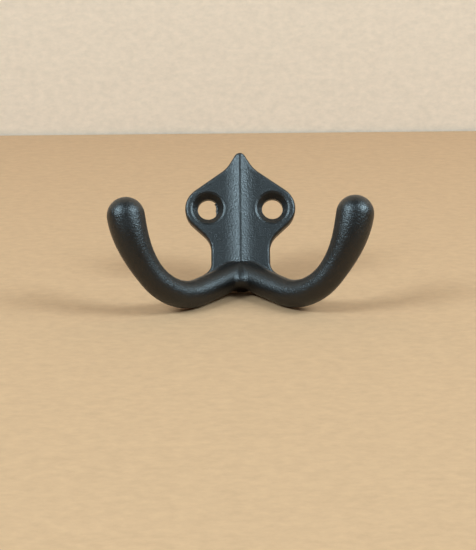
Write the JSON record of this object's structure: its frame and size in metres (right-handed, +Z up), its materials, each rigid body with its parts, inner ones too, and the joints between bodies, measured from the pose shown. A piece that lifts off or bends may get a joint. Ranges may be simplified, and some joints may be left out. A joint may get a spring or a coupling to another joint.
{
  "type": "double hook",
  "caption": "Wall hook: a pointed, keeled screw plate whose splayed arms dip and curve up into round knobs, for hanging coats, bags or towels.",
  "frame": {"origin": "on the flat back of the plate, midway between the two screw holes", "axes": "+Z up the wall, +Y into the wall, so the arms reach out along -Y; +X to the right, seen from the room"},
  "size_m": [0.0658, 0.0299, 0.0437],
  "materials": {
    "black_finish": "satin black coating over a casting, slightly grainy"
  },
  "bodies": {
    "root": {"double_hook": "black_finish"}
  },
  "joints": []
}
